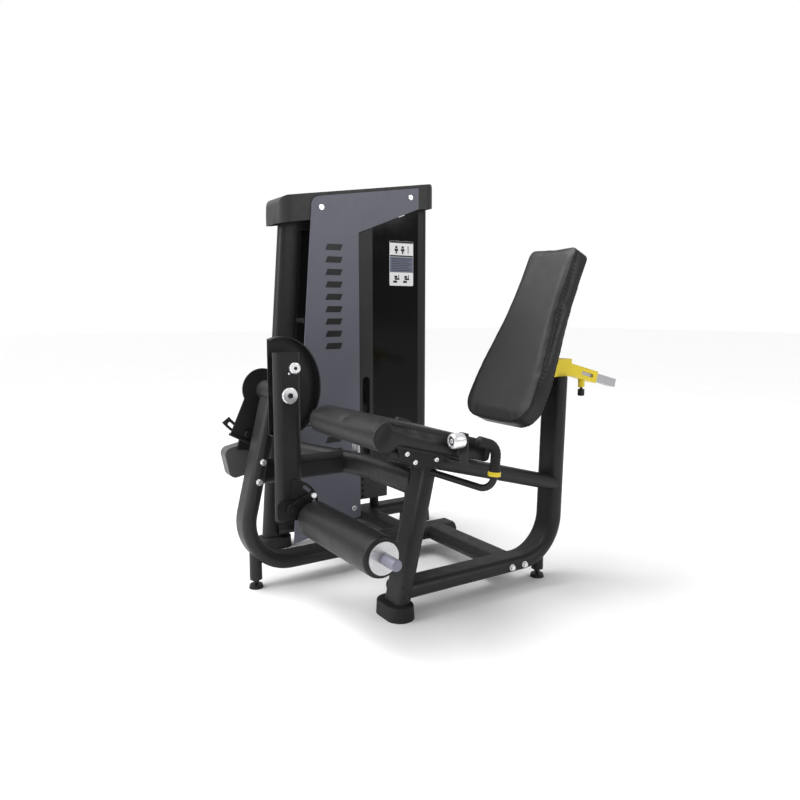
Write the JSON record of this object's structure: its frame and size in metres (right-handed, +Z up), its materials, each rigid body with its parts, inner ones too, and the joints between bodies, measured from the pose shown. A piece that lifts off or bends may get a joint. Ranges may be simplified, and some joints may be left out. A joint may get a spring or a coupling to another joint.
{
  "type": "leg extension machine",
  "caption": "Seated leg extension machine: shin roller on a pivoted lever arm, cable and pulleys to a selectorised weight tower, sliding backrest, bent oval-tube frame",
  "frame": {"origin": "On the floor at the middle of the front post's rubber shoe, in the seat's middle plane", "axes": "+X is the seated user's left, away from the weight tower; +Y is the user's back; +Z is up"},
  "size_m": [1.136, 1.3142, 1.4668],
  "materials": {
    "frame_paint": "satin fine-texture powder coat",
    "upholstery": "fine-grain vinyl, satin",
    "panel_paint": "satin blue-grey powder coat",
    "dark_panel": "satin dark grey",
    "gloss_black": "polished acrylic",
    "cover_plastic": "fine moulded texture",
    "black_plastic": "moulded",
    "shoe_rubber": "matte moulded rubber",
    "grip_rubber": "matte",
    "yellow_paint": "gloss yellow",
    "plated_steel": "ground and plated",
    "bright_chrome": "polished",
    "axle_paint": "satin",
    "stack_iron": "painted casting",
    "counterweight_paint": "satin grey",
    "placard_print": "printed film",
    "cable_jacket": "coated wire rope",
    "pulley_nylon": "turned nylon",
    "selector_red": "moulded"
  },
  "bodies": {
    "frame": {"front_post": "frame_paint", "base_beam": "frame_paint", "rear_upright": "frame_paint", "lever_upright": "frame_paint", "seat_tube": "frame_paint", "seat_cross_tube": "frame_paint", "tower_front_column": "frame_paint", "tower_rear_column": "frame_paint", "tower_base": "frame_paint", "tube_plugs": "black_plastic", "rubber_shoes": "shoe_rubber", "levelling_feet": "black_plastic", "seat_cushion": "upholstery", "seat_pan": "frame_paint", "handle_bars": "frame_paint", "handle_grips": "grip_rubber", "handle_collars": "yellow_paint", "slide_sleeve": "yellow_paint", "sleeve_mounts": "frame_paint", "face_plate": "panel_paint", "side_panels": "dark_panel", "gloss_panel": "gloss_black", "placard": "placard_print", "top_cover": "cover_plastic", "guide_rods": "plated_steel", "rod_bumpers": "shoe_rubber", "resting_plates": "stack_iron", "tower_brackets": "frame_paint", "main_cable": "cable_jacket", "pulley_axles": "plated_steel", "frame_bolts": "bright_chrome"},
    "knob": {"side_knob": "bright_chrome"},
    "backrest": {"backrest_pad": "upholstery", "backrest_bracket": "frame_paint", "slide_bar": "plated_steel"},
    "slide_lock": {"slide_pin": "black_plastic"},
    "lever": {"pivot_shaft": "plated_steel", "pivot_caps": "bright_chrome", "lever_arm": "frame_paint", "arm_caps": "black_plastic", "cam_guard": "frame_paint", "index_plate": "frame_paint", "counterweight": "counterweight_paint", "shaft_collars": "plated_steel", "roller_boss": "frame_paint"},
    "range_fan": {"range_plate": "frame_paint"},
    "range_lock": {"range_pin": "black_plastic"},
    "roller_carrier": {"roller_arm": "frame_paint", "roller_axle": "axle_paint"},
    "roller": {"roller_pad": "upholstery", "roller_core": "bright_chrome"},
    "roller_lock": {"roller_pin": "bright_chrome"},
    "stack": {"lifted_plates": "stack_iron", "selector_stem": "plated_steel", "stack_cable": "cable_jacket"},
    "selector": {"selector_pin": "selector_red"},
    "cross_wheel": {"cross_pulley": "pulley_nylon"},
    "entry_wheel": {"entry_pulley": "pulley_nylon"},
    "top_front_wheel": {"top_front_pulley": "pulley_nylon"},
    "top_rear_wheel": {"top_rear_pulley": "pulley_nylon"}
  },
  "joints": [
    {"name": "lever_swing", "type": "hinge", "parent": "frame", "child": "lever", "pos_m": [-0.44, -0.211, 0.669], "axis": [-1, 0, 0], "range_deg": [0, 100]},
    {"name": "stack_lift", "type": "slide", "parent": "frame", "child": "stack", "axis": [0, 0, 1], "range_m": [0, 0.2052], "deforming": ["stack_cable"]},
    {"name": "cross_pulley_spin", "type": "hinge", "parent": "frame", "child": "cross_wheel", "pos_m": [-0.416, 0.0975, 0.5515], "axis": [0, 0, -1], "range_deg": [0, 313.4]},
    {"name": "entry_pulley_spin", "type": "hinge", "parent": "frame", "child": "entry_wheel", "pos_m": [-0.7625, 0.135, 0.589], "axis": [0, -1, 0], "range_deg": [0, 313.4]},
    {"name": "top_front_spin", "type": "hinge", "parent": "frame", "child": "top_front_wheel", "pos_m": [-0.8, 0.1725, 1.29], "axis": [1, 0, 0], "range_deg": [0, 313.4]},
    {"name": "top_rear_spin", "type": "hinge", "parent": "frame", "child": "top_rear_wheel", "pos_m": [-0.8, 0.2745, 1.29], "axis": [1, 0, 0], "range_deg": [0, 313.4]},
    {"name": "roller_adjust", "type": "hinge", "parent": "lever", "child": "roller_carrier", "pos_m": [-0.28, -0.211, 0.3], "axis": [-1, 0, 0], "range_deg": [-25, 20]},
    {"name": "roller_spin", "type": "hinge", "parent": "roller_carrier", "child": "roller", "pos_m": [-0.04, -0.149, 0.265], "axis": [1, 0, 0], "continuous": true},
    {"name": "roller_pin_pull", "type": "slide", "parent": "roller_carrier", "child": "roller_lock", "axis": [1, 0, 0], "range_m": [0, 0.012], "stiffness_N_per_m": 300, "springref_m": -0.01},
    {"name": "range_adjust", "type": "hinge", "parent": "lever", "child": "range_fan", "pos_m": [-0.522, -0.211, 0.669], "axis": [-1, 0, 0], "range_deg": [-40, 20]},
    {"name": "range_pin_pull", "type": "slide", "parent": "range_fan", "child": "range_lock", "axis": [1, 0, 0], "range_m": [0, 0.009], "stiffness_N_per_m": 300, "springref_m": -0.01},
    {"name": "backrest_slide", "type": "slide", "parent": "frame", "child": "backrest", "axis": [0, -0.9681, 0.2504], "range_m": [0, 0.1]},
    {"name": "slide_pin_pull", "type": "slide", "parent": "frame", "child": "slide_lock", "axis": [0, 0, -1], "range_m": [0, 0.012], "stiffness_N_per_m": 300, "springref_m": -0.01},
    {"name": "selector_pull", "type": "slide", "parent": "stack", "child": "selector", "axis": [1, 0, 0], "range_m": [0, 0.09]},
    {"name": "knob_spin", "type": "hinge", "parent": "frame", "child": "knob", "pos_m": [0.226, 0.062, 0.577], "axis": [0, 1, 0], "continuous": true}
  ],
  "couplings": [
    {"joint": "stack_lift", "follows": "lever_swing", "m_per_rad": 0.1175},
    {"joint": "cross_pulley_spin", "follows": "lever_swing", "ratio": 3.1333},
    {"joint": "entry_pulley_spin", "follows": "lever_swing", "ratio": 3.1333},
    {"joint": "top_front_spin", "follows": "lever_swing", "ratio": 3.1333},
    {"joint": "top_rear_spin", "follows": "lever_swing", "ratio": 3.1333}
  ]
}
